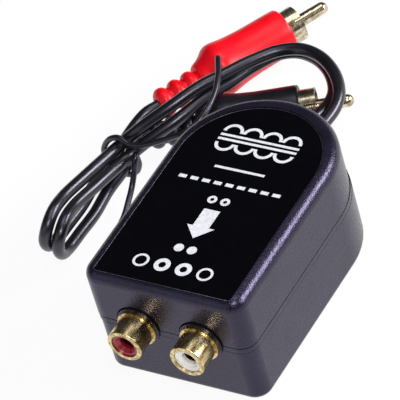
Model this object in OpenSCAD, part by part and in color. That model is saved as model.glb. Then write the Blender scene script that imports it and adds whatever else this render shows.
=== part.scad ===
// Ground loop isolator with two phono jacks and a twin lead that ends in two phono plugs.
// Frame: millimetres, +Z up, origin at the middle of the housing's underside.
// The jacks look along -Y, the lead leaves at +Y, and +X is to the right of the jack face.

/* [Housing] */
// Width of the housing across its straight sides
body_w = 42; // [40:0.5:52]
// Length of the upper shell from the jack face to the round end
body_l = 65.5; // [62:0.5:80]
// Height of the housing
body_h = 31; // [29:0.5:38]
// Height of the parting line, which is also the height of the jack axes
split_z = 17; // [16:0.5:18]
// Wall of both shells
wall = 2.2; // [2:0.1:2.6]
// Thickness of the roof above the cavity
roof = 2.8; // [2.4:0.1:3.4]
// Thickness of the floor
floor_t = 2; // [1.6:0.1:2.6]
// Radius of the two upright corners at the jack face
corner_r = 4; // [3.5:0.5:5]
// Rounding along the top edge
top_round = 3; // [2.4:0.1:3.4]
// Rounding along the bottom edge
bottom_round = 1.5; // [0.8:0.1:2]
// How much narrower each side of the lower shell is
lower_inset = 0.2; // [0:0.05:0.5]
// How much further back the lower shell reaches at the round end
rear_step = 1; // [0:0.1:1.5]
// Height of the raised band under the parting line
band_h = 1.4; // [1:0.1:1.8]
// Height of the shadow gaps above and below the band
gap_h = 0.3; // [0.2:0.05:0.5]
// Depth of the shadow gaps
gap_d = 0.5; // [0.3:0.05:0.7]
// Height of the tongue that stands inside the upper shell
tongue_h = 1.5; // [1:0.1:2]

/* [Label] */
// Width of the label panel
label_w = 36.2; // [34:0.2:37]
// Bare border between the jack face and the label
label_front = 1.6; // [1.5:0.1:3]
// Bare border between the round end and the label
label_rear = 4.3; // [4:0.1:6]
// Thickness of the label panel
label_t = 0.3; // [0.2:0.05:0.5]
// Depth of the label's seat below the top
label_seat = 0.65; // [0.5:0.05:0.9]
// Thickness of the printed shapes
print_t = 0.05; // [0.04:0.01:0.1]

/* [Jacks] */
// Spacing of the two jacks
jack_pitch = 16.5; // [15.5:0.5:17]
// Radius of a jack's barrel
barrel_r = 4.35; // [4.25:0.05:4.4]
// Length of a jack outside the wall
jack_out = 6.6; // [6:0.2:9]
// Radius of a jack's flange
flange_r = 4.9; // [4.8:0.1:5.2]
// Radius of a jack's threaded stem
stem_r = 4; // [3.8:0.1:4]
// Length of the stem inside the wall's outer face
stem_l = 8; // [7:0.5:9]
// Radius of the round boss that carries a jack
boss_r = 5.4; // [5.3:0.1:5.7]
// Radius of a jack's nut across its corners
nut_r = 6.3; // [6:0.1:6.3]
// Radius of a jack's coloured insert
insert_r = 3.3; // [3.1:0.1:3.4]
// Radius of the hole for a plug's pin
socket_r = 1.7; // [1.65:0.05:1.8]
// Depth of that hole
socket_l = 11; // [9:0.5:12]

/* [Plugs and lead] */
// Radius of a plug's pin
pin_r = 1.6; // [1.55:0.05:1.65]
// Outer radius of a plug's slotted shell
shell_r = 4.55; // [4.4:0.05:4.6]
// Sheet thickness of the slotted shell
shell_t = 0.35; // [0.3:0.05:0.4]
// Length of a plug from pin tip to tail
plug_l = 50.5; // [49.5:0.5:54]
// Largest radius of a plug's sleeve
shoulder_r = 6.9; // [6.6:0.1:7.2]
// Diameter of each lead
lead_d = 3.1; // [2.9:0.05:3.15]
// Spacing of the two leads in the grommet
lead_pitch = 3.3; // [3.25:0.05:3.6]
// Diameter of the twist tie
tie_d = 1.5; // [1.2:0.1:1.6]

/* [Inside] */
// Thickness of the circuit board
pcb_t = 1.6; // [1.2:0.1:2]
// Height of the board's underside
pcb_z = 6; // [5.5:0.5:7]
// Spacing of the two transformers
coil_pitch = 16; // [15.5:0.5:16.5]
// Length of a transformer core
core_l = 16; // [15:0.5:18]
// Height of a transformer core
core_h = 13.5; // [12.5:0.5:14]
// Thickness of a transformer core's stack
core_t = 7; // [6:0.5:7.5]
// Radius of a case screw's shank
screw_r = 1.1; // [1:0.05:1.2]
// Radius of a case screw's head
head_r = 2.1; // [1.9:0.1:2.2]
// Diameter of the hook-up wires
wire_d = 1.2; // [0.8:0.1:1.4]

/* [Hidden] */
fit = 0.05;
eps = 0.01;
black = [0.12, 0.12, 0.14];
gold = [0.83, 0.69, 0.42];
copper = [0.72, 0.42, 0.2];
half_w = body_w / 2;
front_y = -body_l / 2;
rear_y = body_l / 2;
arch_y = rear_y - half_w;
jack_x = jack_pitch / 2;
lip_in = wall / 2;
post_r = 2.6;
post_in = 4.2;
front_post = [half_w - post_in, front_y + stem_l + post_r];
post_reach = (half_w - wall - 1.95) * sin(45);
rear_post = [post_reach, arch_y + post_reach];
posts = [front_post, [-front_post[0], front_post[1]], rear_post, [-rear_post[0], rear_post[1]]];
screw_seat_z = floor_t + 1;
screw_top_z = split_z + 6;
lead_r = lead_d / 2;
grommet_y = rear_y - wall;
grommet_in = grommet_y - 1.95;
grommet_out = rear_y + rear_step + 1.2;
board_top = pcb_z + pcb_t;
board_w = body_w - 2 * wall - 1.6;
board_front = front_post[1] + post_r + 0.55;
board_rear = arch_y + 3.2;
board_mid = (board_front + board_rear) / 2;
board_peg = [board_w / 2 - 2.5, (board_rear - board_front) / 2 - 2.5];
seat_gap = 0.1;
rim_round = 0.3;
contact_front = jack_out - 2.3;

// Each plug lies on the surface on which the housing stands: place of the pin's tip, and heading
red_tip = [-23.9, 87.5, shoulder_r];
red_turn = 61.4;
black_tip = [-1.2, 58.2, shoulder_r];
black_turn = 29.5;
// Distances from a pin's tip back along the plug
shell_front = 8.9;
sleeve_front = 12.8;
shell_back = 18.9;
disc_front = 15.5;
stem_end = 26;
lead_stop = 30;

function plug_point(tip, turn, back) = [tip[0] - back * cos(turn), tip[1] - back * sin(turn), tip[2]];

// Route of the lead to the red plug, from inside the housing to the plug's tail
red_route = [
    [1.65, 22, 17], [1.65, 35, 17], [2.6, 40, 17.1], [2.8, 45, 17.3], [1.4, 49.8, 17.6], [-2.8, 55.3, 18],
    [-8.8, 59.3, 18.2], [-14.5, 60.4, 18.2], [-19.6, 58.5, 18.2], [-24.5, 53.5, 18.2], [-28.6, 47.5, 18.3],
    [-32.6, 42, 18.2], [-37.6, 34.8, 16.6], [-42.7, 29.8, 13.9], [-47.5, 26, 10.5], [-49, 20, 10.5],
    [-50.1, 11.5, 11.5], [-50.5, 3, 13], [-49.7, -3, 14], [-49.5, -6.7, 12.6], [-50.3, -8.2, 9.2],
    [-51.1, -6.6, 5.7], [-51.7, -2.8, 3.9], [-51.6, 3, 3.8], [-51.5, 9.5, 3.8], [-51.7, 17, 4.6],
    [-49.9, 25.4, 7.2], [-51.6, 29.5, 5], [-52.3, 33.4, 4.2], [-51.4, 37.3, 5.4], [-49.9, 40.2, 6.7]];
// Route of the lead to the black plug
black_route = [
    [-1.65, 22, 17], [-1.65, 35, 17], [-0.8, 40, 16.8], [-0.6, 46.4, 15.5], [-2, 52.3, 14.7],
    [-5.8, 57.6, 14.7], [-11, 61.2, 14.8], [-17, 62.4, 14.8], [-21.5, 60.5, 14.8], [-25.5, 55, 14.8],
    [-28.6, 48.3, 14.9], [-31.6, 42.8, 14.9], [-36, 34.2, 13.4], [-40.6, 29, 11.2], [-45, 24.6, 8.4],
    [-46.5, 19.8, 8.2], [-47.5, 11.5, 9.2], [-48, 3, 10.7], [-47, -3, 11.8], [-46.7, -6.5, 10.4],
    [-47.4, -7.8, 7], [-48.2, -6.3, 3.5], [-48.8, -2.8, 1.8], [-48.8, 3, 1.6], [-48.6, 9.5, 1.6],
    [-48.8, 17, 2.4], [-47.1, 25, 4.7], [-47.5, 29.3, 6.2], [-46.8, 32, 6.9]];
// Route of the twist tie: cut end, over the leads, round the bundle, and down to the other end
tie_route = [
    [-30.5, 48.8, 22], [-28.2, 44.8, 22], [-26.7, 41.6, 22], [-25.5, 38, 21.6], [-25, 34, 21],
    [-25.6, 30, 20], [-28, 27.2, 18], [-31.7, 26.5, 16], [-36.5, 25.4, 14], [-41, 24.4, 12.5],
    [-44.2, 24.2, 12.3], [-47.4, 24.6, 13.3], [-50.4, 24.6, 11.9], [-52.8, 24.4, 7.6], [-51.6, 24.2, 3.6],
    [-47.6, 24.1, 1.6], [-44.4, 24, 3.4], [-42.6, 23.6, 6.8], [-42.3, 23.2, 9.4], [-42.1, 22.9, 10.6],
    [-41.9, 21.9, 9.9], [-42.2, 20.5, 7], [-42.2, 18, 4.2], [-41.7, 14.5, 2.6], [-41, 10.5, 1.5],
    [-40.7, 6, 1], [-40.5, 2, 1]];

// Helpers for tubes swept along a route: unit vector, heading at a point, and a carried side vector
function unit(v) = v / norm(v);
function heading(p, i) = unit(p[min(i + 1, len(p) - 1)] - p[max(i - 1, 0)]);
function across(v, t) = unit(v - (v * t) * t);
function carried(p) = [for (i = 0, s = across([0.1, 0.2, 1], heading(p, 0)); i < len(p);
    i = i + 1, s = across(s, heading(p, min(i, len(p) - 1)))) s];
function ring_point(c, t, s, r, a) = c + r * (cos(a) * s + sin(a) * cross(t, s));

// Tube of radius r along the points p with n flat sides
module tube(p, r, n = 8) {
    side = carried(p);
    last = len(p) - 1;
    points = [for (i = [0:last]) for (k = [0:n - 1])
        ring_point(p[i], heading(p, i), side[i], r, 360 * k / n)];
    skin = [for (i = [0:last - 1]) for (k = [0:n - 1])
        [i * n + k, (i + 1) * n + k, (i + 1) * n + (k + 1) % n, i * n + (k + 1) % n]];
    start = [for (k = [0:n - 1]) k];
    end = [for (k = [n - 1:-1:0]) last * n + k];
    polyhedron(points, concat([start], skin, [end]), convexity = 8);
}

// Half outline of a rounded slab: r is the reach from its middle line
module half_profile(r, z0, z1, low, high) {
    intersection() {
        union() {
            translate([0, z0 + low]) square([r, z1 - z0 - low - high]);
            translate([0, z0]) square([max(r - max(low, high), eps), z1 - z0]);
            translate([0, z0 + low]) square([r - high, z1 - z0 - low]);
            translate([0, z0]) square([r - low, z1 - z0 - high]);
            if (low > 0) translate([r - low, z0 + low]) circle(low, $fn = 48);
            if (high > 0) translate([r - high, z1 - high]) circle(high, $fn = 48);
        }
        translate([0, z0]) square([r, z1 - z0]);
    }
}

// Slab with a straight front, round upright corners and a half-round rear end
module slab(half, y0, y_mid, z0, z1, corner, low = 0, high = 0) {
    translate([0, y_mid, 0]) rotate_extrude($fn = 128) half_profile(half, z0, z1, low, high);
    for (side = [-1, 1])
        translate([side * (half - corner), y0 + corner, 0])
            rotate_extrude($fn = 64) half_profile(corner, z0, z1, low, high);
    translate([0, y_mid, 0]) rotate([90, 0, 0]) linear_extrude(y_mid - y0 - corner) {
        half_profile(half, z0, z1, low, high);
        mirror([1, 0]) half_profile(half, z0, z1, low, high);
    }
    translate([0, y_mid, 0]) rotate([90, 0, -90]) linear_extrude(2 * (half - corner), center = true)
        half_profile(y_mid - y0, z0, z1, low, high);
}

// Cylinder along Y from y0 to y1
module y_rod(x, z, r, y0, y1) {
    translate([x, y1, z]) rotate([90, 0, 0]) cylinder(h = y1 - y0, r = r, $fn = 64);
}

// Flat bar with half-round ends, w wide and h high, along Y
module y_stadium(w, h, y0, y1) {
    translate([0, y1, split_z]) rotate([90, 0, 0]) linear_extrude(y1 - y0) {
        square([w - h, h], center = true);
        for (side = [-1, 1]) translate([side * (w - h) / 2, 0]) circle(d = h, $fn = 48);
    }
}

module lead_bores(y0, y1) {
    for (side = [-1, 1]) y_rod(side * lead_pitch / 2, split_z, lead_r + fit, y0, y1);
}

module top_shell() {
    color(black) difference() {
        union() {
            difference() {
                slab(half_w, front_y, arch_y, split_z, body_h, corner_r, 0, top_round);
                slab(half_w - wall, front_y + wall, arch_y, split_z - 1, body_h - roof, corner_r - wall + 0.3);
                slab(half_w - lip_in, front_y + lip_in, arch_y, split_z - 1, split_z + tongue_h + seat_gap,
                    corner_r - lip_in);
            }
            for (p = posts) translate([p[0], p[1], split_z])
                cylinder(h = body_h - roof - split_z + eps, r = post_r, $fn = 48);
        }
        label_seat_cut();
        for (p = posts) translate([p[0], p[1], split_z - 1])
            cylinder(h = screw_top_z - split_z + 1.5, r = screw_r + fit, $fn = 32);
        for (side = [-1, 1])
            y_rod(side * jack_x, split_z, boss_r + gap_h, front_y - 1, front_y + wall + 1);
        y_stadium(lead_pitch + lead_d + 1.8 + 2 * fit, lead_d + 1.8 + 2 * fit, grommet_y - 2, rear_y + 3);
    }
}

module label_seat_cut() {
    slab(label_w / 2 + fit, front_y + label_front - fit, rear_y - label_rear - label_w / 2,
        body_h - label_seat, body_h + 1, 0.8);
}

module bottom_shell() {
    in = lower_inset;
    band_z = split_z - gap_h - band_h;
    color(black) difference() {
        union() {
            difference() {
                union() {
                    slab(half_w - in, front_y + in, arch_y + rear_step, 0, band_z - gap_h, corner_r, bottom_round);
                    slab(half_w - gap_d, front_y + gap_d, arch_y + rear_step / 2, band_z - gap_h - eps,
                        band_z + eps, corner_r - 0.3);
                    slab(half_w - 0.05, front_y + 0.05, arch_y + rear_step / 2, band_z, split_z - gap_h, corner_r);
                    slab(half_w - lip_in - seat_gap, front_y + lip_in + seat_gap, arch_y, split_z - gap_h - eps,
                        split_z + tongue_h, corner_r - lip_in - seat_gap);
                }
                slab(half_w - wall, front_y + wall, arch_y, floor_t, split_z + tongue_h + 1, corner_r - wall + 0.3);
            }
            for (side = [-1, 1])
                y_rod(side * jack_x, split_z, boss_r, front_y - 0.4, front_y + wall);
            for (p = posts) translate([p[0], p[1], 0]) cylinder(h = split_z, r = post_r, $fn = 48);
            for (sx = [-1, 1], sy = [-1, 1]) translate([sx * board_peg[0], board_mid + sy * board_peg[1], floor_t - eps]) {
                cylinder(h = pcb_z - floor_t + eps, r = 2.2, $fn = 32);
                cylinder(h = board_top - floor_t + 0.6, r = 1, $fn = 32);
            }
        }
        for (side = [-1, 1])
            y_rod(side * jack_x, split_z, stem_r + fit, front_y - 1, front_y + wall + 1);
        for (p = posts) translate([p[0], p[1], -1]) {
            cylinder(h = screw_seat_z + 1, r = head_r + 0.3, $fn = 48);
            cylinder(h = split_z + 2, r = screw_r + 0.2, $fn = 32);
            translate([0, 0, split_z + 1]) cylinder(h = tongue_h + 1, r = post_r + seat_gap, $fn = 48);
        }
        y_stadium(lead_pitch + lead_d + 1.8 + 2 * fit, lead_d + 1.8 + 2 * fit, grommet_y - 2, rear_y + 3);
    }
}

module label() {
    color([0.03, 0.03, 0.04])
        slab(label_w / 2 - fit, front_y + label_front + fit, rear_y - label_rear - label_w / 2,
            body_h - label_seat, body_h - label_seat + label_t, 0.7);
}

// Printed shapes: arrow from input to output, a two-coil sign, rules and four ring marks
module label_print() {
    color("white") translate([0, 0, body_h - label_seat + label_t]) linear_extrude(print_t) {
        translate([0, -8.6]) arrow_shape();
        translate([0, 16.6]) coil_sign();
        translate([0, 7.2]) square([13.2, 0.7], center = true);
        for (i = [-4:4]) translate([i * 3.1, 2.2]) square([2, 1], center = true);
        for (side = [-1, 1]) translate([side * 1.7, -3]) ring_shape(1.2, 0.5);
        for (side = [-1, 1]) translate([side * 1.7, -19.1]) dot_shape(1.2);
        for (i = [-1.5:1:1.5]) translate([i * 5.6, -25.1]) ring_shape(2, abs(i) > 1 ? 1.4 : 0.9);
    }
}

module arrow_shape() {
    polygon([[-2.1, 2.5], [2.1, 2.5], [2.1, -3.1], [3.6, -3.1], [0, -6.9], [-3.6, -3.1], [-2.1, -3.1]]);
}

module ring_shape(r, inner) {
    difference() {
        circle(r, $fn = 48);
        circle(inner, $fn = 48);
    }
}

module dot_shape(r) {
    circle(r, $fn = 48);
}

// Two facing rows of half rings with two bars between them, the sign of a transformer
module coil_sign() {
    for (side = [-1, 1]) {
        for (i = [-1.5:1:1.5])
            translate([i * 5.2, side * 1.9]) intersection() {
                ring_shape(2.6, 1.8);
                translate([-3, side > 0 ? 0 : -3]) square([6, 3]);
            }
        translate([0, side * 0.7]) square([20.8, 0.7], center = true);
    }
}

module case_screws() {
    color("silver") for (p = posts) translate([p[0], p[1], 0]) difference() {
        union() {
            translate([0, 0, screw_seat_z - 1.4]) cylinder(h = 1.4, r = head_r, $fn = 48);
            translate([0, 0, screw_seat_z - eps]) cylinder(h = screw_top_z - screw_seat_z, r = screw_r, $fn = 32);
        }
        for (turn = [0, 90]) rotate(turn)
            translate([-1.3, -0.3, screw_seat_z - 2]) cube([2.6, 0.6, 1.5]);
    }
}

// Places a jack's pieces: their own +Z points out of the jack face
module at_jack(side) {
    translate([side * jack_x, front_y - 0.4, split_z]) rotate([90, 0, 0]) children();
}

module jack_shell(side) {
    color(gold) at_jack(side) rotate_extrude($fn = 96) difference() {
        union() {
            translate([0, -stem_l]) square([stem_r, stem_l]);
            square([flange_r, 0.8]);
            square([barrel_r, jack_out - rim_round]);
            square([barrel_r - rim_round, jack_out]);
            translate([barrel_r - rim_round, jack_out - rim_round]) circle(rim_round, $fn = 24);
        }
        translate([-1, -stem_l - 1]) square([1 + insert_r, jack_out + stem_l + 2]);
    }
}

module jack_insert(side, shade) {
    color(shade) at_jack(side) rotate_extrude($fn = 96) difference() {
        translate([0, -stem_l]) square([insert_r - fit, stem_l + jack_out - 0.4]);
        translate([-1, -stem_l - 1]) square([1 + socket_r + 0.45, stem_l + contact_front + 1.1]);
        translate([-1, -1]) square([1 + socket_r + 0.1, jack_out + 2]);
        polygon([[0, jack_out - 1.3], [socket_r + 0.1, jack_out - 1.3], [insert_r - 0.8, jack_out - 0.4],
            [insert_r - 0.8, jack_out], [0, jack_out]]);
    }
}

// Spring socket behind the insert's hole, with a solder tag at its rear end
module jack_contact(side) {
    color(gold) at_jack(side) difference() {
        union() {
            translate([0, 0, -stem_l - 1])
                cylinder(h = stem_l + 1 + contact_front, r = socket_r + 0.4, $fn = 48);
            translate([-1, -0.25, -stem_l - 4]) cube([2, 0.5, 3 + eps]);
        }
        translate([0, 0, contact_front - socket_l]) cylinder(h = socket_l + 1, r = socket_r, $fn = 48);
    }
}

module jack_nuts() {
    color(gold) for (side = [-1, 1]) at_jack(side) translate([0, 0, -wall - 0.4 - 0.6 - 2.3])
        difference() {
            rotate(30) cylinder(h = 2.3, r = nut_r, $fn = 6);
            translate([0, 0, -1]) cylinder(h = 5, r = stem_r + fit, $fn = 64);
        }
}

// Solder tags clamped between the wall and the nuts
module ground_tags() {
    color("silver") for (side = [-1, 1]) at_jack(side) translate([0, 0, -wall - 0.4 - 0.55]) difference() {
        union() {
            cylinder(h = 0.5, r = 5.6, $fn = 64);
            translate([-1.2, -8.4, 0]) cube([2.4, 5, 0.5]);
        }
        translate([0, 0, -1]) cylinder(h = 3, r = stem_r + fit, $fn = 64);
        translate([0, -7.4, -1]) cylinder(h = 3, r = 0.6, $fn = 32);
    }
}

module circuit_board() {
    color([0.13, 0.42, 0.22]) difference() {
        translate([-board_w / 2, board_front, pcb_z]) cube([board_w, board_rear - board_front, pcb_t]);
        for (sx = [-1, 1], sy = [-1, 1])
            translate([sx * board_peg[0], board_mid + sy * board_peg[1], pcb_z - 1])
                cylinder(h = pcb_t + 2, r = 1.1, $fn = 32);
        for (side = [-1, 1]) at_coil(side) for (sx = [-1, 1], sy = [-1:1])
            translate([sx * 4.5, sy * 6, -pcb_t - 1]) cylinder(h = pcb_t + 2, r = 0.4, $fn = 24);
    }
}

module at_coil(side) {
    translate([side * coil_pitch / 2, board_mid, board_top]) children();
}

core_z = 1.4;
core_leg = 2.4;
core_mid = 4.4;
window_y = (core_l - 2 * core_leg - core_mid) / 2;
tube_t = 0.6;

module core(side) {
    color([0.35, 0.36, 0.38]) at_coil(side) difference() {
        translate([-core_t / 2, -core_l / 2, core_z]) cube([core_t, core_l, core_h]);
        for (sy = [-1, 1])
            translate([-core_t, sy * (core_mid + window_y) / 2 - window_y / 2, core_z + core_leg])
                cube([2 * core_t, window_y, core_h - 2 * core_leg]);
    }
}

module bobbin(side) {
    low = core_z + core_leg + fit;
    high = core_z + core_h - core_leg - fit;
    wide = core_mid + 2 * window_y - 2 * fit;
    color([0.9, 0.88, 0.8]) at_coil(side) difference() {
        union() {
            translate([-6, -core_l / 2, 0]) cube([12, core_l, core_z - fit]);
            for (sx = [-1, 1]) translate([sx * 4.6 - 0.8, -4, 0]) cube([1.6, 8, low + 0.4]);
            translate([-6, -wide / 2, low]) cube([12, wide, 0.7]);
            translate([-6, -wide / 2, high - 0.7]) cube([12, wide, 0.7]);
            translate([-core_t / 2 - tube_t - fit, -core_mid / 2 - tube_t - fit, low])
                cube([core_t + 2 * (tube_t + fit), core_mid + 2 * (tube_t + fit), high - low]);
        }
        translate([-core_t / 2 - fit, -core_mid / 2 - fit, core_z - eps])
            cube([core_t + 2 * fit, core_mid + 2 * fit, core_h]);
        for (sx = [-1, 1], sy = [-1:1])
            translate([sx * 4.5, sy * 6, -1]) cylinder(h = 1.8, r = 0.3, $fn = 24);
    }
}

module winding(side) {
    low = core_z + core_leg + fit + 0.75;
    high = core_z + core_h - core_leg - fit - 0.75;
    wide = core_mid + 2 * window_y - 0.6;
    color([0.85, 0.65, 0.1]) at_coil(side) difference() {
        translate([-5.7, -wide / 2, low]) cube([11.4, wide, high - low]);
        translate([-core_t / 2 - tube_t - 2 * fit, -core_mid / 2 - tube_t - 2 * fit, low - 1])
            cube([core_t + 2 * tube_t + 4 * fit, core_mid + 2 * tube_t + 4 * fit, core_h]);
    }
}

module coil_pins() {
    color("silver") for (side = [-1, 1]) at_coil(side) for (sx = [-1, 1], sy = [-1:1])
        translate([sx * 4.5, sy * 6, -pcb_t - 1]) cylinder(h = pcb_t + 1.7, r = 0.28, $fn = 24);
}

tag_y = front_y - 0.4 + stem_l + 4;
wire_r = wire_d / 2;
wire_z = board_top + 0.15;

// Wire from a jack's centre tag down to the board
module signal_wire(side, shade) {
    x = side * jack_x;
    color(shade) tube([[x, tag_y - 1.4, split_z - 0.3 - wire_r], [x, tag_y, split_z - 1.4 - wire_r],
        [x, tag_y + 1.6, split_z - 4], [x, board_front + 0.9, split_z - 7], [x, board_front + 1, wire_z]], wire_r);
}

module ground_wires() {
    color(black) for (side = [-1, 1]) {
        x = side * jack_x;
        y = front_y + wall + 0.65;
        tube([[x, y + wire_r, split_z - 7], [x, y + wire_r + 0.2, split_z - 8.6], [x * 0.9, y + 4, split_z - 9.2],
            [x * 0.5, y + 9, split_z - 6.5], [x * 0.3, board_front + 2.6, wire_z + 1.5],
            [x * 0.3, board_front + 2.7, wire_z]], wire_r);
    }
}

// Inner conductors and twisted screens of the two leads, down to the board
module lead_cores() {
    for (side = [-1, 1]) {
        x = side * lead_pitch / 2;
        color("white") tube([[x, 21.8, split_z + 0.6], [x, 19.5, split_z], [x * 1.8, 16, split_z - 3],
            [x * 2.2, board_rear - 0.9, split_z - 6], [x * 2.2, board_rear - 1.1, wire_z]], 0.5, 8);
        color(copper) tube([[x, 21.8, split_z - 0.7], [x * 1.2, 20.3, split_z - 1.6], [x * 2.2, 18, split_z - 4.5],
            [x * 3.6, board_rear - 0.9, split_z - 7], [x * 3.9, board_rear - 1, wire_z]], 0.4, 8);
    }
}

module grommet() {
    color(black) difference() {
        union() {
            y_stadium(lead_pitch + lead_d + 1.8, lead_d + 1.8, grommet_in, grommet_out);
            y_stadium(lead_pitch + lead_d + 3.8, lead_d + 3.8, grommet_in, grommet_in + 1.1);
            y_stadium(lead_pitch + lead_d + 3.8, lead_d + 3.8, rear_y + rear_step, grommet_out);
        }
        lead_bores(grommet_in - 1, grommet_out + 1);
    }
}

// Nylon tie drawn round the two leads behind the grommet
module strain_tie() {
    y0 = grommet_in - 2.8;
    color([0.85, 0.85, 0.82]) difference() {
        union() {
            y_stadium(lead_pitch + lead_d + 2.2, lead_d + 2.2, y0, y0 + 2.5);
            translate([-2, y0 - 0.5, split_z + lead_r + 0.6]) cube([4, 3.2, 2.6]);
        }
        y_stadium(lead_pitch + lead_d + 2 * fit, lead_d + 2 * fit, y0 - 2, y0 + 4);
    }
}

module lead_red() {
    color(black) tube(concat(red_route, [plug_point(red_tip, red_turn, plug_l),
        plug_point(red_tip, red_turn, plug_l - 5), plug_point(red_tip, red_turn, lead_stop)]), lead_r);
}

module lead_black() {
    color(black) tube(concat(black_route, [plug_point(black_tip, black_turn, plug_l),
        plug_point(black_tip, black_turn, plug_l - 5), plug_point(black_tip, black_turn, lead_stop)]), lead_r);
}

module twist_tie() {
    color(black) tube(tie_route, tie_d / 2);
}

// Places a plug's pieces: their own +Z runs from the tail to the pin's tip, which is at zero
module at_plug(tip, turn) {
    translate(tip) rotate([0, 0, turn]) rotate([0, 90, 0]) children();
}

// Moulded sleeve: grip with a raised shoulder, taper, and three ribs at the tail
module plug_sleeve(tip, turn, shade) {
    s = shoulder_r;
    t = plug_l;
    color(shade) at_plug(tip, turn) difference() {
        union() {
            rotate_extrude($fn = 72) polygon([[0, -sleeve_front], [5.2, -sleeve_front], [5.65, -sleeve_front - 0.2],
                [5.85, -sleeve_front - 0.7], [5.9, -19], [6, -23.5], [6.25, -27.3], [s - 0.2, -30.6], [s, -32],
                [s - 0.15, -33.2], [6.1, -34.5], [5.2, -35.2], [4.5, -36.4], [4.1, -t + 12.5],
                [3.5, -t + 12], [2.6, -t + 11.9], [0, -t + 11.9]]);
            translate([0, 0, -t]) cylinder(h = 13, r = 2.6, $fn = 48);
            for (i = [0:2]) translate([0, 0, -t + 1.1 + 4 * i]) rib(3.7 + 0.1 * i);
        }
        translate([0, 0, -shell_back - fit]) cylinder(h = shell_back, r = shell_r + fit, $fn = 64);
        translate([0, 0, -stem_end - 1]) cylinder(h = stem_end, r = 2.6 + fit, $fn = 48);
        translate([0, 0, -t - 1]) cylinder(h = t - stem_end + 2, r = lead_r + fit, $fn = 48);
        translate([0, 0, -t - eps]) cylinder(h = 1.4, r1 = lead_r + 0.6, r2 = lead_r + fit, $fn = 48);
    }
}

// One rounded rib of a sleeve's tail
module rib(r) {
    rotate_extrude($fn = 64) {
        square([r - 0.7, 2.9]);
        translate([0, 0.7]) square([r, 1.5]);
        translate([r - 0.7, 0.7]) circle(0.7, $fn = 24);
        translate([r - 0.7, 2.2]) circle(0.7, $fn = 24);
    }
}

// Slotted outer contact with a tubular stem inside the sleeve
module plug_shell(tip, turn) {
    in_r = shell_r - shell_t;
    color(gold) at_plug(tip, turn) difference() {
        rotate_extrude($fn = 96) {
            translate([in_r, -shell_back]) square([shell_t, shell_back - shell_front]);
            translate([2.6 - shell_t, -shell_back]) square([shell_r - 2.6 + shell_t, shell_t]);
            translate([2.6 - shell_t, -stem_end]) square([shell_t, stem_end - shell_back + shell_t]);
        }
        for (turn_z = [45, 135]) rotate(turn_z)
            translate([-shell_r - 1, -0.45, -shell_front - 5]) cube([2 * shell_r + 2, 0.9, 6]);
    }
}

module plug_insulator(tip, turn) {
    in_r = shell_r - shell_t - fit;
    color([0.92, 0.92, 0.9]) at_plug(tip, turn) rotate_extrude($fn = 72) difference() {
        union() {
            translate([0, -shell_back + shell_t + fit])
                square([in_r, shell_back - shell_t - fit - disc_front]);
            translate([0, -shell_back - 3]) square([2.6 - shell_t - fit, 5]);
        }
        translate([-1, -40]) square([pin_r + 0.7 + fit, 40]);
    }
}

module plug_pin(tip, turn) {
    color(gold) at_plug(tip, turn) difference() {
        rotate_extrude($fn = 64) intersection() {
            union() {
                translate([0, -24]) square([pin_r - 0.3, 23]);
                translate([0, -disc_front + fit]) square([pin_r, disc_front - fit - pin_r]);
                translate([0, -pin_r]) circle(pin_r, $fn = 48);
            }
            translate([0, -24]) square([pin_r, 24]);
        }
        translate([0, 0, -25]) cylinder(h = 4, r = 0.9, $fn = 32);
    }
}

top_shell();
bottom_shell();
label();
label_print();
case_screws();
jack_shell(-1);  // jack_shell_red
jack_shell(1);  // jack_shell_white
jack_insert(-1, [0.7, 0.1, 0.15]);  // jack_insert_red
jack_insert(1, "white");  // jack_insert_white
jack_contact(-1);  // jack_contact_red
jack_contact(1);  // jack_contact_white
jack_nuts();
ground_tags();
circuit_board();
core(-1);  // core_left
core(1);  // core_right
bobbin(-1);  // bobbin_left
bobbin(1);  // bobbin_right
winding(-1);  // winding_left
winding(1);  // winding_right
coil_pins();
signal_wire(-1, [0.8, 0.1, 0.1]);  // signal_wire_red
signal_wire(1, "white");  // signal_wire_white
ground_wires();
lead_cores();
grommet();
strain_tie();
lead_red();
lead_black();
plug_sleeve(red_tip, red_turn, [0.9, 0.08, 0.12]);  // plug_sleeve_red
plug_sleeve(black_tip, black_turn, black);  // plug_sleeve_black
plug_shell(red_tip, red_turn);  // plug_shell_red
plug_shell(black_tip, black_turn);  // plug_shell_black
plug_insulator(red_tip, red_turn);  // plug_insulator_red
plug_insulator(black_tip, black_turn);  // plug_insulator_black
plug_pin(red_tip, red_turn);  // plug_pin_red
plug_pin(black_tip, black_turn);  // plug_pin_black
twist_tie();
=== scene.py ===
import math

import bmesh
import bpy
from mathutils import Matrix, Vector


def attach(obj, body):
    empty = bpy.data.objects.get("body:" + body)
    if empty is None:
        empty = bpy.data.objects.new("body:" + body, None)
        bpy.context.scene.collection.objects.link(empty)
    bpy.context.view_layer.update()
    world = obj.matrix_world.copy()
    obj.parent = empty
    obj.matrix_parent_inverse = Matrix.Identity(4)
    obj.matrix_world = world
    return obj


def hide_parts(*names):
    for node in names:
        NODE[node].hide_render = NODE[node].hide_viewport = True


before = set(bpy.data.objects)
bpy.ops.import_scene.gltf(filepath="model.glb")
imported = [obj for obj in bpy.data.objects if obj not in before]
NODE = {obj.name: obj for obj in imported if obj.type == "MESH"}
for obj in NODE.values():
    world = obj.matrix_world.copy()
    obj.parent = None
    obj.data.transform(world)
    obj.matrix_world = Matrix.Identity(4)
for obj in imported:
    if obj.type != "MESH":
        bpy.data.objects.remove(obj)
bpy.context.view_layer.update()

MM = 0.001


def lin(hex_colour):
    """An sRGB hex colour as the linear values that a shader socket takes."""
    values = [int(hex_colour[i:i + 2], 16) / 255 for i in (1, 3, 5)]
    return tuple(v / 12.92 if v <= 0.04045 else ((v + 0.055) / 1.055) ** 2.4 for v in values) + (1.0,)


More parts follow.
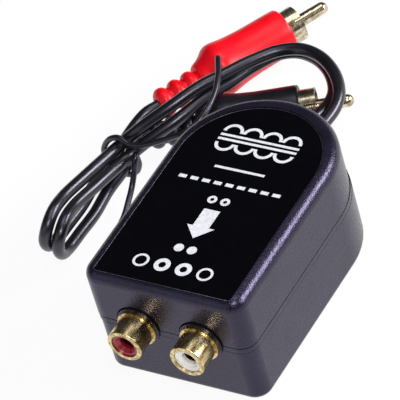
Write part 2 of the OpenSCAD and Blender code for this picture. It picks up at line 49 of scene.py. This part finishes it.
# ---- Camera: the pose that the photograph was fitted with

scene = bpy.context.scene
camera = bpy.data.objects.new("camera", bpy.data.cameras.new("camera"))
scene.collection.objects.link(camera)
right = Vector((0.85668, 0.46939, -0.21395)).normalized()
back = Vector((0.47957, -0.57189, 0.66555)).normalized()
up = back.cross(right).normalized()
right = up.cross(back)
camera.matrix_world = Matrix.Translation(Vector((431.52, -523.84, 635.71)) * MM) @ Matrix(
    (right, up, back)).transposed().to_4x4()
camera.data.sensor_width = 36
camera.data.lens = 358.76
camera.data.clip_start = 0.05
camera.data.clip_end = 20
scene.camera = camera
scene.view_settings.view_transform = "Standard"


# ---- Shader helpers

def add(tree, kind, props=None, values=None, links=None):
    """Adds one node, sets its properties and socket values, and links sockets of it to other nodes' outputs."""
    n = tree.nodes.new(kind)
    for key, value in (props or {}).items():
        setattr(n, key, value)
    for key, value in (values or {}).items():
        n.inputs[key].default_value = value
    for key, output in (links or {}).items():
        tree.links.new(output, n.inputs[key])
    return n


def material(name, **values):
    """A new material with one Principled shader; values are its sockets' uniform values."""
    m = bpy.data.materials.new(name)
    m.use_nodes = True
    shader = m.node_tree.nodes["Principled BSDF"]
    for key, value in values.items():
        shader.inputs[key.replace("_", " ")].default_value = value
    return m, m.node_tree, shader


def place(tree):
    """Object coordinates: metres in the shared frame."""
    return add(tree, "ShaderNodeTexCoord").outputs["Object"]


def noise(tree, at, size, detail=2.0, rough=0.5):
    """Noise whose blotches are about size metres across."""
    return add(tree, "ShaderNodeTexNoise", values={"Scale": 1 / size, "Detail": detail, "Roughness": rough},
               links={"Vector": at}).outputs["Fac"]


def ramp(tree, fac, low, high, a, b):
    """Maps fac from low..high to a..b, held at the ends."""
    return add(tree, "ShaderNodeMapRange", values={"From Min": low, "From Max": high, "To Min": a, "To Max": b},
               links={"Value": fac}).outputs["Result"]


def mix(tree, fac, a, b):
    """A colour between hex colours a and b."""
    n = add(tree, "ShaderNodeMix", {"data_type": "RGBA"}, links={"Factor": fac})
    n.inputs[6].default_value = lin(a)
    n.inputs[7].default_value = lin(b)
    return n.outputs[2]


def bump(tree, shader, height, depth, strength=1.0):
    """Gives the shader a bump of that real depth in metres."""
    n = add(tree, "ShaderNodeBump", values={"Strength": strength, "Distance": depth}, links={"Height": height})
    tree.links.new(n.outputs["Normal"], shader.inputs["Normal"])


def grained(name, dark, light, rough, grain, depth, blotch=6 * MM, spread=0.06, **values):
    """Plastic with a fine moulded grain, slow colour drift and uneven polish."""
    m, t, s = material(name, **values)
    at = place(t)
    fine = noise(t, at, grain, 3.0, 0.6)
    slow = noise(t, at, blotch, 3.0)
    t.links.new(mix(t, ramp(t, slow, 0.3, 0.7, 0, 1), dark, light), s.inputs["Base Color"])
    t.links.new(ramp(t, slow, 0.25, 0.75, rough - spread, rough + spread), s.inputs["Roughness"])
    bump(t, s, fine, depth)
    return m


# ---- Materials

# The black plastics gleam slightly violet
VIOLET = lin("#dfd9ef")

# Spark-eroded black ABS: a fine even grain that breaks the light into small glints
def case_black():
    m, t, s = material("abs_spark_eroded_black", IOR=1.53, Specular_IOR_Level=0.65, Specular_Tint=lin("#cbbff0"))
    at = place(t)
    grain = noise(t, at, 0.34 * MM, 2.0, 0.7)
    pit = add(t, "ShaderNodeTexVoronoi", values={"Scale": 1 / (0.45 * MM)}, links={"Vector": at}).outputs["Distance"]
    slow = noise(t, at, 7 * MM, 3.0)
    t.links.new(mix(t, ramp(t, slow, 0.3, 0.7, 0, 1), "#0e0c16", "#1a1826"), s.inputs["Base Color"])
    t.links.new(ramp(t, grain, 0.35, 0.65, 0.2, 0.34), s.inputs["Roughness"])
    both = add(t, "ShaderNodeMath", {"operation": "MULTIPLY_ADD"}, {1: 0.6}, {0: pit, 2: grain}).outputs[0]
    bump(t, s, both, 0.055 * MM, 0.9)
    return m


# Gloss black film with a faint orange-peel, as a printed overlay has
def label_film():
    m, t, s = material("gloss_overlay_film", IOR=1.5, Specular_IOR_Level=0.3, Specular_Tint=VIOLET, Coat_Weight=0.1,
                       Coat_Roughness=0.1)
    at = place(t)
    t.links.new(mix(t, noise(t, at, 9 * MM, 2.0), "#010103", "#030307"), s.inputs["Base Color"])
    t.links.new(ramp(t, noise(t, at, 2.5 * MM, 3.0), 0.3, 0.7, 0.14, 0.24), s.inputs["Roughness"])
    bump(t, s, noise(t, at, 1.6 * MM, 1.0), 0.01 * MM, 0.25)
    return m


# Gold-plated brass: pale and warm, with dark streaks along the jacks' axis that are painted reflections of a polished
# barrel, and fine turning lines
def gold(name, light, dark, rough):
    m, t, s = material(name, Metallic=1.0)
    at = place(t)
    along = add(t, "ShaderNodeMapping", values={"Scale": (1, 0.3, 1)}, links={"Vector": at}).outputs[0]
    # Noise stretched along y gives the dark streaks: painted reflections in the base colour
    painted_reflection_streaks = noise(t, along, 0.9 * MM, 4.0, 0.6)
    t.links.new(mix(t, ramp(t, painted_reflection_streaks, 0.38, 0.68, 0, 1), light, dark), s.inputs["Base Color"])
    t.links.new(ramp(t, noise(t, at, 0.5 * MM, 3.0), 0.3, 0.7, rough, rough + 0.1), s.inputs["Roughness"])
    bump(t, s, noise(t, at, 0.16 * MM, 2.0), 0.004 * MM, 0.4)
    return m


# Thin lines across one axis: laminations, wound tape, twisted strands
def lined(name, a, b, pitch, axis, rough, depth, **values):
    m, t, s = material(name, **values)
    at = place(t)
    lines = add(t, "ShaderNodeTexWave", {"wave_type": "BANDS", "bands_direction": axis},
                {"Scale": 0.314 / pitch, "Distortion": 0.6, "Detail": 2.0, "Detail Scale": 1.5},
                {"Vector": at}).outputs["Fac"]
    t.links.new(mix(t, lines, a, b), s.inputs["Base Color"])
    t.links.new(ramp(t, noise(t, at, 1.2 * MM), 0.3, 0.7, rough, rough + 0.12), s.inputs["Roughness"])
    bump(t, s, lines, depth, 0.6)
    return m


# Solder mask over copper: tracks show as slightly raised, lighter bands
def board_mask():
    m, t, s = material("solder_mask_green", IOR=1.5, Coat_Weight=0.3, Coat_Roughness=0.12)
    at = place(t)
    brick = add(t, "ShaderNodeTexBrick", {"offset": 0.37, "squash": 1.6, "squash_frequency": 3},
                {"Scale": 1 / (5.5 * MM), "Mortar Size": 0.13, "Mortar Smooth": 0.1, "Brick Width": 0.9,
                 "Row Height": 0.42}, {"Vector": at}).outputs["Fac"]
    t.links.new(mix(t, brick, "#0b4a24", "#1c7a3d"), s.inputs["Base Color"])
    t.links.new(ramp(t, noise(t, at, 3 * MM), 0.3, 0.7, 0.28, 0.4), s.inputs["Roughness"])
    bump(t, s, brick, 0.035 * MM)
    return m


LOOK = {
    "case": case_black(),
    "film": label_film(),
    # White screen ink: flat, very slightly broken at its edges
    "ink": grained("screen_ink_white", "#c9cad2", "#e8e9ef", 0.5, 0.12 * MM, 0.004 * MM, 0.5 * MM),
    # Bright zinc on steel
    "zinc": grained("zinc_plated_steel", "#8d9096", "#b9bcc2", 0.3, 0.2 * MM, 0.004 * MM, 1 * MM, Metallic=1.0),
    "gold": gold("gold_plated_brass", "#efd9a6", "#8a7040", 0.22),
    # Nickelled brass of the nuts: a duller yellow that hardly mirrors
    "brass": gold("nickel_brass_nut", "#d9bd84", "#b39355", 0.26),
    # Hot-dipped tin: bright grey with soft ripples
    "tin": grained("hot_tinned_steel", "#b9bbbf", "#dadbdd", 0.28, 0.3 * MM, 0.01 * MM, 1 * MM, Metallic=1.0),
    # Thin gold plate on nickel: paler than the jacks', with brown streaks that are painted reflections
    "gold_pale": gold("pale_gold_plate", "#e9dcc2", "#85714c", 0.17),
    # Lighter grey tube on the overlay's cut edge: a painted highlight, the fine line of light that the edge catches
    "painted_edge_highlight": grained("overlay_edge_painted_highlight", "#2a2833", "#4b4755", 0.3, 0.2 * MM, 0.004 * MM, 1 * MM, IOR=1.5),
    # Moulded inserts: polished crimson, and ivory that light enters a little
    "insert_red": grained("moulded_insert_crimson", "#7e0f22", "#9c1730", 0.3, 0.2 * MM, 0.005 * MM, 2 * MM,
                          IOR=1.5, Coat_Weight=0.3, Coat_Roughness=0.12),
    "insert_white": grained("moulded_insert_ivory", "#e9e6df", "#f7f5f0", 0.3, 0.2 * MM, 0.005 * MM, 2 * MM,
                            IOR=1.5, Coat_Weight=0.3, Coat_Roughness=0.12, Subsurface_Weight=0.1,
                            Subsurface_Scale=0.5 * MM),
    "board": board_mask(),
    # Stacked silicon-steel sheets: grey edges in fine lines, drawn at 0.35 mm
    "core": lined("silicon_steel_laminations", "#4b4d52", "#85878c", 0.35 * MM, "X", 0.4, 0.03 * MM, Metallic=0.9),
    # Natural nylon: cream, half matt, light enters a little
    "nylon": grained("nylon_natural", "#dcd6c4", "#efeadb", 0.42, 0.25 * MM, 0.008 * MM, 3 * MM, IOR=1.53,
                     Subsurface_Weight=0.12, Subsurface_Scale=0.7 * MM),
    # Polyester tape over the winding: glossy yellow with its turns showing
    "tape": lined("polyester_tape_yellow", "#c98f12", "#eec02d", 0.9 * MM, "Z", 0.26, 0.05 * MM, IOR=1.55,
                  Coat_Weight=0.25),
    # Extruded PVC of the hook-up wires: satin, even colour
    "wire_red": grained("wire_pvc_red", "#a01014", "#c9191d", 0.34, 0.2 * MM, 0.006 * MM, 2 * MM, IOR=1.52),
    "wire_white": grained("wire_pvc_white", "#d4d4cf", "#ecece8", 0.34, 0.2 * MM, 0.006 * MM, 2 * MM, IOR=1.52),
    "wire_black": grained("wire_pvc_black", "#0c0c0e", "#17171a", 0.34, 0.2 * MM, 0.006 * MM, 2 * MM, IOR=1.52),
    # Bare stranded copper: bright strands that lie aslant
    "copper": lined("stranded_copper", "#8f4a26", "#d98d5b", 0.18 * MM, "DIAGONAL", 0.25, 0.03 * MM, Metallic=1.0),
    # Soft glossy black PVC of the lead: clear highlights, slightly wavy skin
    "lead": grained("lead_pvc_gloss_black", "#08080c", "#111017", 0.33, 0.9 * MM, 0.01 * MM, 5 * MM, 0.03, IOR=1.55,
                    Specular_IOR_Level=0.85, Specular_Tint=VIOLET, Coat_Weight=0.1, Coat_Roughness=0.3),
    # Soft moulded PVC of the sleeves: satin, the red one slightly translucent
    "plug_red": grained("plug_pvc_bright_red", "#de0418", "#f00c20", 0.36, 0.4 * MM, 0.008 * MM, 4 * MM, 0.05,
                        IOR=1.46, Specular_IOR_Level=0.35, Subsurface_Weight=0.08, Subsurface_Radius=(1.0, 0.1, 0.08),
                        Subsurface_Scale=0.8 * MM),
    "plug_black": grained("plug_pvc_black", "#0c0c10", "#18181d", 0.34, 0.4 * MM, 0.01 * MM, 4 * MM, 0.05, IOR=1.52,
                          Specular_Tint=VIOLET),
    # PVC skin of the twist tie: thin, satin, faintly rippled by its wire
    "tie": grained("twist_tie_pvc", "#101016", "#1d1c25", 0.3, 0.3 * MM, 0.012 * MM, 2 * MM, IOR=1.53,
                   Specular_IOR_Level=0.7, Specular_Tint=VIOLET),
}

DRESS = {
    "top_shell": "case", "bottom_shell": "case", "label": "film", "label_print": "ink", "case_screws": "zinc",
    "jack_shell_red": "gold", "jack_shell_white": "gold", "jack_insert_red": "insert_red",
    "jack_insert_white": "insert_white", "jack_contact_red": "gold", "jack_contact_white": "gold",
    "jack_nuts": "brass", "ground_tags": "tin", "circuit_board": "board", "core_left": "core",
    "core_right": "core", "bobbin_left": "nylon", "bobbin_right": "nylon", "winding_left": "tape",
    "winding_right": "tape", "coil_pins": "tin", "signal_wire_red": "wire_red", "signal_wire_white": "wire_white",
    "ground_wires": "wire_black", "lead_cores": "wire_white", "grommet": "lead", "strain_tie": "nylon",
    "lead_red": "lead", "lead_black": "lead", "plug_sleeve_red": "plug_red", "plug_sleeve_black": "plug_black",
    "plug_shell_red": "gold_pale", "plug_shell_black": "gold_pale", "plug_insulator_red": "nylon",
    "plug_insulator_black": "nylon", "plug_pin_red": "gold_pale", "plug_pin_black": "gold_pale", "twist_tie": "tie",
}
for name, look in DRESS.items():
    for s in NODE[name].material_slots:
        s.material = LOOK[look]


# ---- Tubes along smooth routes

def smooth(points, step=0.9 * MM):
    """Points about step apart on one smooth curve through all of points."""
    p = [Vector(q) for q in points]
    p = [2 * p[0] - p[1]] + p + [2 * p[-1] - p[-2]]
    out = []
    for i in range(1, len(p) - 2):
        a, b, c, d = p[i - 1:i + 3]
        t0, t1 = 0.0, (b - a).length ** 0.5
        t2 = t1 + (c - b).length ** 0.5
        t3 = t2 + (d - c).length ** 0.5
        n = max(1, round((c - b).length / step))
        for k in range(n):
            t = t1 + (t2 - t1) * k / n
            ab = a.lerp(b, (t - t0) / (t1 - t0))
            bc = b.lerp(c, (t - t1) / (t2 - t1))
            cd = c.lerp(d, (t - t2) / (t3 - t2))
            abc = ab.lerp(bc, (t - t0) / (t2 - t0))
            bcd = bc.lerp(cd, (t - t1) / (t3 - t1))
            out.append(abc.lerp(bcd, (t - t1) / (t2 - t1)))
    return out + [p[-2]]


def frames(path):
    """A heading and a side direction at each point, carried along without twist."""
    side = Vector((0.1, 0.2, 1))
    out = []
    for i in range(len(path)):
        h = (path[min(i + 1, len(path) - 1)] - path[max(i - 1, 0)]).normalized()
        side = (side - h * side.dot(h)).normalized()
        out.append((h, side))
    return out


def new_object(name, bm, look):
    """A smooth-shaded mesh object from bm in that material, riding on the part."""
    bmesh.ops.recalc_face_normals(bm, faces=bm.faces)
    mesh = bpy.data.meshes.new(name)
    bm.to_mesh(mesh)
    bm.free()
    mesh.polygons.foreach_set("use_smooth", [True] * len(mesh.polygons))
    mesh.materials.append(LOOK[look])
    o = bpy.data.objects.new(name, mesh)
    scene.collection.objects.link(o)
    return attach(o, "root")


def tube(bm, path, radius, sides):
    """Sweeps a circle along path and closes both ends."""
    rings = []
    for c, (h, s) in zip(path, frames(path)):
        u = h.cross(s)
        rings.append([bm.verts.new(c + radius * (math.cos(a) * s + math.sin(a) * u))
                      for a in [2 * math.pi * k / sides for k in range(sides)]])
    for a, b in zip(rings, rings[1:]):
        for k in range(sides):
            bm.faces.new((a[k], b[k], b[(k + 1) % sides], a[(k + 1) % sides]))
    bm.faces.new(rings[0])
    bm.faces.new(rings[-1][::-1])


def metres(points):
    return [Vector(p) * MM for p in points]


# ---- Cords: the two leads and the tie, along the routes of their solids

SHOULDER = 6.9
RED_TIP, RED_TURN = Vector((-23.9, 87.5, SHOULDER)), math.radians(61.4)
BLACK_TIP, BLACK_TURN = Vector((-1.2, 58.2, SHOULDER)), math.radians(29.5)
PLUG_L = 50.5
LEAD_D = 3.1 * MM


def plug_point(tip, turn, back_mm):
    return tip - back_mm * Vector((math.cos(turn), math.sin(turn), 0))


RED_ROUTE = [
    (1.65, 22, 17), (1.65, 35, 17), (2.6, 40, 17.1), (2.8, 45, 17.3), (1.4, 49.8, 17.6), (-2.8, 55.3, 18),
    (-8.8, 59.3, 18.2), (-14.5, 60.4, 18.2), (-19.6, 58.5, 18.2), (-24.5, 53.5, 18.2), (-28.6, 47.5, 18.3),
    (-32.6, 42, 18.2), (-37.6, 34.8, 16.6), (-42.7, 29.8, 13.9), (-47.5, 26, 10.5), (-49, 20, 10.5),
    (-50.1, 11.5, 11.5), (-50.5, 3, 13), (-49.7, -3, 14), (-49.5, -6.7, 12.6), (-50.3, -8.2, 9.2),
    (-51.1, -6.6, 5.7), (-51.7, -2.8, 3.9), (-51.6, 3, 3.8), (-51.5, 9.5, 3.8), (-51.7, 17, 4.6),
    (-49.9, 25.4, 7.2), (-51.6, 29.5, 5), (-52.3, 33.4, 4.2), (-51.4, 37.3, 5.4), (-49.9, 40.2, 6.7)]
BLACK_ROUTE = [
    (-1.65, 22, 17), (-1.65, 35, 17), (-0.8, 40, 16.8), (-0.6, 46.4, 15.5), (-2, 52.3, 14.7),
    (-5.8, 57.6, 14.7), (-11, 61.2, 14.8), (-17, 62.4, 14.8), (-21.5, 60.5, 14.8), (-25.5, 55, 14.8),
    (-28.6, 48.3, 14.9), (-31.6, 42.8, 14.9), (-36, 34.2, 13.4), (-40.6, 29, 11.2), (-45, 24.6, 8.4),
    (-46.5, 19.8, 8.2), (-47.5, 11.5, 9.2), (-48, 3, 10.7), (-47, -3, 11.8), (-46.7, -6.5, 10.4),
    (-47.4, -7.8, 7), (-48.2, -6.3, 3.5), (-48.8, -2.8, 1.8), (-48.8, 3, 1.6), (-48.6, 9.5, 1.6),
    (-48.8, 17, 2.4), (-47.1, 25, 4.7), (-47.5, 29.3, 6.2), (-46.8, 32, 6.9)]
TIE_ROUTE = [
    (-30.5, 48.8, 22), (-28.2, 44.8, 22), (-26.7, 41.6, 22), (-25.5, 38, 21.6), (-25, 34, 21), (-25.6, 30, 20),
    (-28, 27.2, 18), (-31.7, 26.5, 16), (-36.5, 25.4, 14), (-41, 24.4, 12.5), (-44.2, 24.2, 12.3),
    (-47.4, 24.6, 13.3), (-50.4, 24.6, 11.9), (-52.8, 24.4, 7.6), (-51.6, 24.2, 3.6), (-47.6, 24.1, 1.6),
    (-44.4, 24, 3.4), (-42.6, 23.6, 6.8), (-42.3, 23.2, 9.4), (-42.1, 22.9, 10.6), (-41.9, 21.9, 9.9),
    (-42.2, 20.5, 7), (-42.2, 18, 4.2), (-41.7, 14.5, 2.6), (-41, 10.5, 1.5), (-40.7, 6, 1), (-40.5, 2, 1)]


def lead(name, node, route, tip, turn, pieces):
    tail = [plug_point(tip, turn, b) for b in (PLUG_L, PLUG_L - 5, 30)]
    path = smooth(metres([*route, *tail]))
    bm = bmesh.new()
    tube(bm, path, LEAD_D / 2, 18)
    o = new_object(name, bm, "lead")
    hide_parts(node)


bm = bmesh.new()
tie_path = smooth(metres(TIE_ROUTE), 0.6 * MM)
tube(bm, tie_path, 0.75 * MM, 12)
tie = new_object("twist_tie_wrap", bm, "tie")
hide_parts("twist_tie")


# Distance back from the pin's tip and radius, both in mm, along a sleeve's skin from its mouth to its taper's end
SKIN = [(12.8, 5.25), (12.86, 5.6), (13.1, 5.78), (13.6, 5.86), (16, 5.9), (19, 5.92), (23.5, 6), (27.3, 6.25),
        (29.2, 6.48), (30.6, 6.72), (31.4, 6.85), (32, 6.88), (32.7, 6.83), (33.3, 6.68), (34, 6.35), (34.8, 5.75),
        (35.6, 5.2), (36.4, 4.8), (37.2, 4.5), (37.9, 4.2), (38.3, 3.9), (38.5, 3.4)]
# The sleeve's inside, back to its mouth: round the lead, the insulator and the gold shell
BORE = [(PLUG_L, 1.63), (26, 1.63), (26, 2.66), (18.95, 2.66), (18.95, 4.62), (12.8, 4.62)]


RIBS = (40.55, 44.55, 48.55)
RIB_ROUND = 1.9
SLOT_R = 1.78
MOULDING_LINE = 0.07


def sleeve_rings():
    """Back distance, radius over and under the lead, and radius at its two sides, where the slots are."""
    rings = [(b, r, r) for b, r in SKIN] + [(38.6, 2.9, SLOT_R), (38.82, 2.9, SLOT_R)]
    for middle in RIBS:
        for j in range(-4, 5):
            x = 1.68 * math.sin(j * math.pi / 8)
            r = RIB_ROUND + math.sqrt(RIB_ROUND ** 2 - x ** 2)
            rings.append((middle + x, r, r))
        if middle < RIBS[-1]:
            rings += [(middle + 1.76, 2.8, SLOT_R), (middle + 2.24, 2.8, SLOT_R)]
    return rings + [(50.4, 2.4, 2.4), (PLUG_L, 2, 2)] + [(b, r, r) for b, r in BORE]


def sleeve(colour, tip, turn):
    """Moulded sleeve with round ribs, slots between them at both sides and a fine moulding line."""
    forward = Vector((math.cos(turn), math.sin(turn), 0))
    aside = Vector((-math.sin(turn), math.cos(turn), 0))
    sides = 72
    bm = bmesh.new()
    rings = []
    for b, over, beside in sleeve_rings():
        ring = []
        for k in range(sides):
            a = 2 * math.pi * k / sides
            r = beside if abs(math.sin(a)) < 0.7 else over
            if r > 4.7 and k in (0, sides // 2):
                r += MOULDING_LINE
            out = math.cos(a) * aside + math.sin(a) * Vector((0, 0, 1))
            ring.append(bm.verts.new((tip - b * forward + r * out) * MM))
        rings.append(ring)
    for p, q in zip(rings, rings[1:] + rings[:1]):
        for k in range(sides):
            bm.faces.new((p[k], q[k], q[(k + 1) % sides], p[(k + 1) % sides]))
    o = new_object(f"moulded_sleeve_{colour}", bm, f"plug_{colour}")
    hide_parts(f"plug_sleeve_{colour}")
    return o


def plug_pieces(colour, tip, turn):
    return [sleeve(colour, tip, turn)] + [NODE[f"plug_{k}_{colour}"] for k in ("shell", "insulator", "pin")]


lead("lead_to_red_plug", "lead_red", RED_ROUTE, RED_TIP, RED_TURN,
     [*plug_pieces("red", RED_TIP, RED_TURN), tie])
lead("lead_to_black_plug", "lead_black", BLACK_ROUTE, BLACK_TIP, BLACK_TURN,
     plug_pieces("black", BLACK_TIP, BLACK_TURN))


# ---- Painted highlight round the label panel: a thin light-grey tube on its cut edge

def label_edge():
    half, front, middle, corner, z = 17.98, -31.02, 10.35, 0.7, 30.63
    loop = [(half - corner + corner * math.sin(a), front + corner - corner * math.cos(a), z)
            for a in [math.pi * k / 12 for k in range(7)]]
    loop += [(half, front + (middle - front) * k / 20, z) for k in range(2, 20)]
    loop += [(half * math.cos(a), middle + half * math.sin(a), z) for a in [math.pi * k / 60 for k in range(61)]]
    loop += [(-x, y, z) for x, y, z in loop[24:0:-1]]
    loop += [(-(half - corner), front, z), (0, front, z), (half - corner, front, z)]
    bm = bmesh.new()
    # A thin tube lighter than the case: a painted highlight along the label's edge
    tube(bm, metres(loop), 0.09 * MM, 6)
    new_object("label_edge_painted_highlight", bm, "painted_edge_highlight")


label_edge()


# ---- Hook-up wires inside the housing, along the routes of their solids

def wires(name, node, runs, looks):
    """One object of several wires; each run is a material's place in looks, a radius in mm and points in mm."""
    bm = bmesh.new()
    for place_in, radius, points in runs:
        first = len(bm.faces)
        tube(bm, smooth(metres(points), 0.7 * MM), radius * MM, 12)
        bm.faces.ensure_lookup_table()
        for f in bm.faces[first:]:
            f.material_index = place_in
    o = new_object(name, bm, looks[0])
    for look in looks[1:]:
        o.data.materials.append(LOOK[look])
    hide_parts(node)


def signal_run(x):
    return 0, 0.6, [(x, -22.55, 16.1), (x, -21.15, 15), (x, -19.55, 13), (x, -18.1, 10), (x, -18, 7.75)]


wires("signal_lead_red_side", "signal_wire_red", [signal_run(-8.25)], ["wire_red"])
wires("signal_lead_white_side", "signal_wire_white", [signal_run(8.25)], ["wire_white"])
wires("ground_leads", "ground_wires", [
    (0, 0.6, [(x, -29.3, 10), (x, -29.1, 8.4), (0.9 * x, -25.9, 7.8), (0.5 * x, -20.9, 10.5), (0.3 * x, -16.4, 9.25),
              (0.3 * x, -16.3, 7.75)]) for x in (-8.25, 8.25)], ["wire_black"])
wires("stripped_ends", "lead_cores", [
    run for x in (-1.65, 1.65) for run in (
        (0, 0.5, [(x, 21.8, 17.6), (x, 19.5, 17), (1.8 * x, 16, 14), (2.2 * x, 14.05, 11), (2.2 * x, 13.85, 7.75)]),
        (1, 0.4, [(x, 21.8, 16.3), (1.2 * x, 20.3, 15.4), (2.2 * x, 18, 12.5), (3.6 * x, 14.05, 10),
                  (3.9 * x, 13.95, 7.75)]))], ["wire_white", "copper"])


# ---- Stage: floor that camera and gloss see as nearly plain white, and soft studio lights

HOUSING = Vector((0, 0, 0.02))
FLOOR_WHITE = 0.93
WORLD_DIM = 0.06


def seen_rays(tree):
    """1 for camera, glossy and transmission rays, so that metal and gloss show the white background too."""
    rays = add(tree, "ShaderNodeLightPath").outputs
    either = add(tree, "ShaderNodeMath", {"operation": "MAXIMUM"},
                 links={0: rays["Is Camera Ray"], 1: rays["Is Glossy Ray"]}).outputs[0]
    return add(tree, "ShaderNodeMath", {"operation": "MAXIMUM"},
               links={0: either, 1: rays["Is Transmission Ray"]}).outputs[0]


def stage():
    bm = bmesh.new()
    bmesh.ops.create_grid(bm, x_segments=8, y_segments=8, size=1.5)
    mesh = bpy.data.meshes.new("floor")
    bm.to_mesh(mesh)
    bm.free()
    floor = bpy.data.objects.new("floor", mesh)
    scene.collection.objects.link(floor)
    floor.location.z = -0.05 * MM
    m, t, s = material("pale_studio_floor", Roughness=0.8)
    t.links.new(mix(t, noise(t, place(t), 0.3), "#f0f0f0", "#f6f6f6"), s.inputs["Base Color"])
    glow = add(t, "ShaderNodeEmission", values={"Color": (1, 1, 1, 1), "Strength": 1.0})
    seen = ramp(t, seen_rays(t), 0, 1, 0, FLOOR_WHITE)
    both = add(t, "ShaderNodeMixShader", links={0: seen, 1: s.outputs[0], 2: glow.outputs[0]})
    t.links.new(both.outputs[0], t.nodes["Material Output"].inputs["Surface"])
    mesh.materials.append(m)


def softbox(name, at, width, height, power):
    """A rectangular lamp in metres and watts that looks at the housing."""
    data = bpy.data.lights.new(name, "AREA")
    data.shape = "RECTANGLE"
    data.size, data.size_y = width, height
    data.energy = power
    o = bpy.data.objects.new(name, data)
    scene.collection.objects.link(o)
    o.location = at
    o.rotation_euler = (HOUSING - Vector(at)).to_track_quat("-Z", "Y").to_euler()


stage()
softbox("right_box", (0.68, 0.5, 0.46), 0.75, 0.24, 12)
softbox("top_box", (0.1, 0.2, 0.9), 0.5, 0.4, 2)
softbox("front_box", (-0.35, -0.8, 0.4), 0.9, 0.6, 1.2)
softbox("key_box", (0.42, -0.4, 0.74), 0.26, 0.2, 4)

world = bpy.data.worlds.new("studio")
scene.world = world
world.use_nodes = True
wt = world.node_tree
wt.nodes["Background"].inputs["Color"].default_value = (1, 1, 1, 1)
seen = add(wt, "ShaderNodeLightPath").outputs["Is Camera Ray"]
wt.links.new(ramp(wt, seen, 0, 1, WORLD_DIM, 1.0), wt.nodes["Background"].inputs["Strength"])
